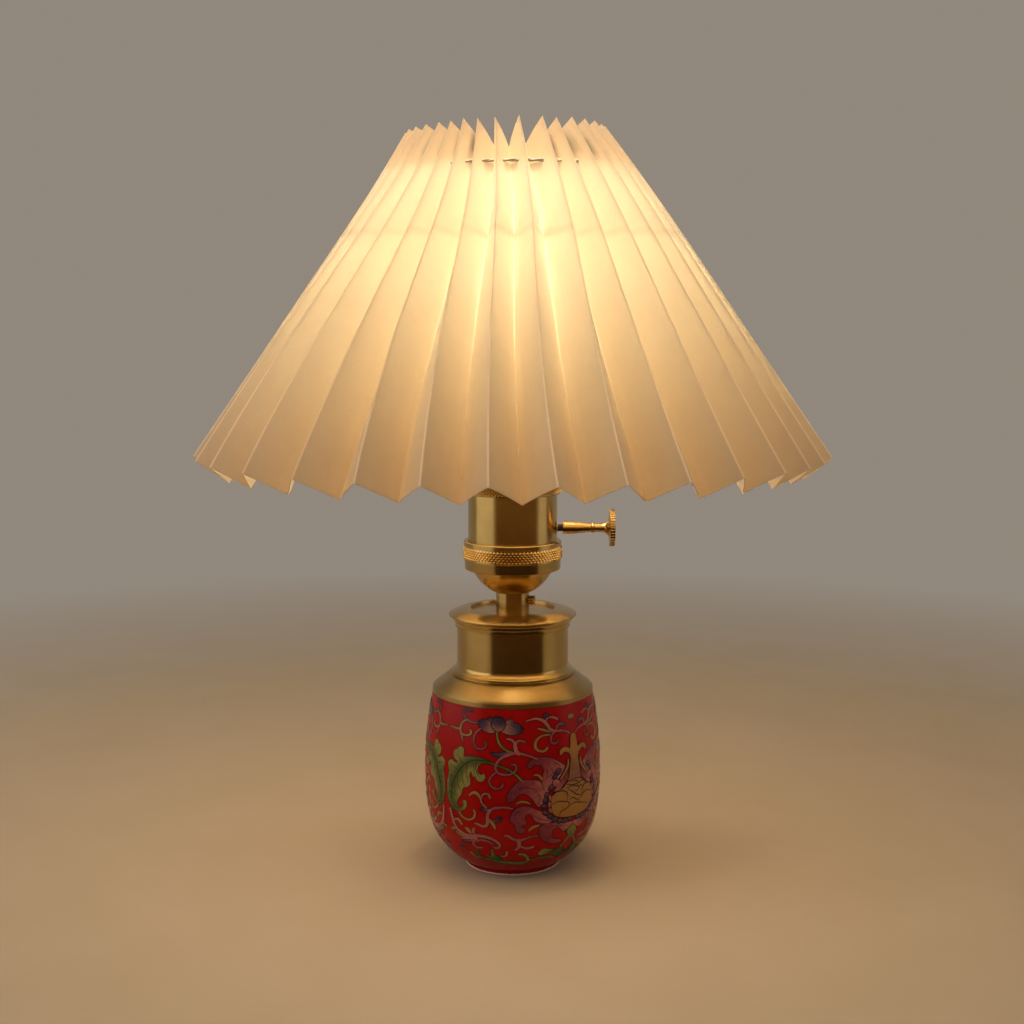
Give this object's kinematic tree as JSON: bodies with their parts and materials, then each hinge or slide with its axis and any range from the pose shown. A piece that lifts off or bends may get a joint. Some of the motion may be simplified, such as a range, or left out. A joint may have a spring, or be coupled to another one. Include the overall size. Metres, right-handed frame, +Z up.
{
  "type": "ceramic table lamp",
  "caption": "Table lamp with a red glazed ceramic jar base, brass cap and lampholder with a turn knob, and a conical pleated shade resting on a wire hoop.",
  "frame": {"origin": "on the table under the middle of the foot", "axes": "+Z up along the lamp's axis, -Y to the front, +X along the switch knob"},
  "size_m": [0.3, 0.2992, 0.3517],
  "materials": {
    "red_glaze": "glossy red enamel glaze with scrolling flowers",
    "antique_brass": "turned and brushed brass with a brown patina",
    "contact_brass": "plain pressed brass",
    "zinc_steel": "zinc plated",
    "black_rubber": "matt",
    "black_plastic": "moulded",
    "white_porcelain": "glazed porcelain",
    "solder": "soldered tip",
    "black_glass": "vitrite",
    "bulb_metal": "nickel plated",
    "opal_glass": "opal white, lit",
    "white_wire": "white lacquered wire",
    "cream_paper": "pleated cream shade paper",
    "white_cord": "twisted string"
  },
  "bodies": {
    "base": {"ceramic_body": "red_glaze", "cord_grommet": "black_rubber", "base_gasket": "black_rubber", "base_washer": "zinc_steel", "base_nut": "zinc_steel", "lamp_pipe": "zinc_steel", "dome_nut": "zinc_steel", "mouth_gasket": "black_rubber", "shoulder_skirt": "antique_brass", "collar_tube": "antique_brass", "cap_lid": "antique_brass", "socket_neck": "antique_brass", "locking_screw": "antique_brass", "socket_dome": "antique_brass", "union_ring": "antique_brass", "socket_shell": "antique_brass", "switch_housing": "black_plastic", "switch_bush": "black_plastic", "switch_leaves": "contact_brass", "holder_screws": "zinc_steel", "lampholder_body": "white_porcelain", "screw_shell": "contact_brass", "centre_contact": "contact_brass", "shade_ring_lower": "antique_brass", "shade_ring_upper": "antique_brass", "carrier_hub": "white_wire", "carrier_arms": "white_wire", "shade_hoop": "white_wire"},
    "knob": {"switch_knob": "antique_brass", "switch_spindle": "black_plastic", "switch_rotor": "black_plastic"},
    "shade": {"shade_pleats": "cream_paper", "gather_string": "white_cord"},
    "bulb_foot": {"bulb_contact": "solder", "bulb_insulator": "black_glass"},
    "bulb": {"bulb_cap": "bulb_metal", "bulb_globe": "opal_glass"}
  },
  "joints": [
    {"name": "knob_turn", "type": "hinge", "parent": "base", "child": "knob", "pos_m": [0.03, 0, 0.16525], "axis": [1, 0, 0], "continuous": true},
    {"name": "shade_lift", "type": "slide", "parent": "base", "child": "shade", "axis": [0, 0, 1], "range_m": [0, 0.13]},
    {"name": "bulb_rise", "type": "slide", "parent": "base", "child": "bulb_foot", "axis": [0, 0, 1], "range_m": [0, 0.0219]},
    {"name": "bulb_turn", "type": "hinge", "parent": "bulb_foot", "child": "bulb", "pos_m": [0, 0, 0.2], "axis": [0, 0, 1], "range_deg": [0, 2160]}
  ],
  "couplings": [
    {"joint": "bulb_rise", "follows": "bulb_turn", "m_per_rad": 0.00057757}
  ]
}
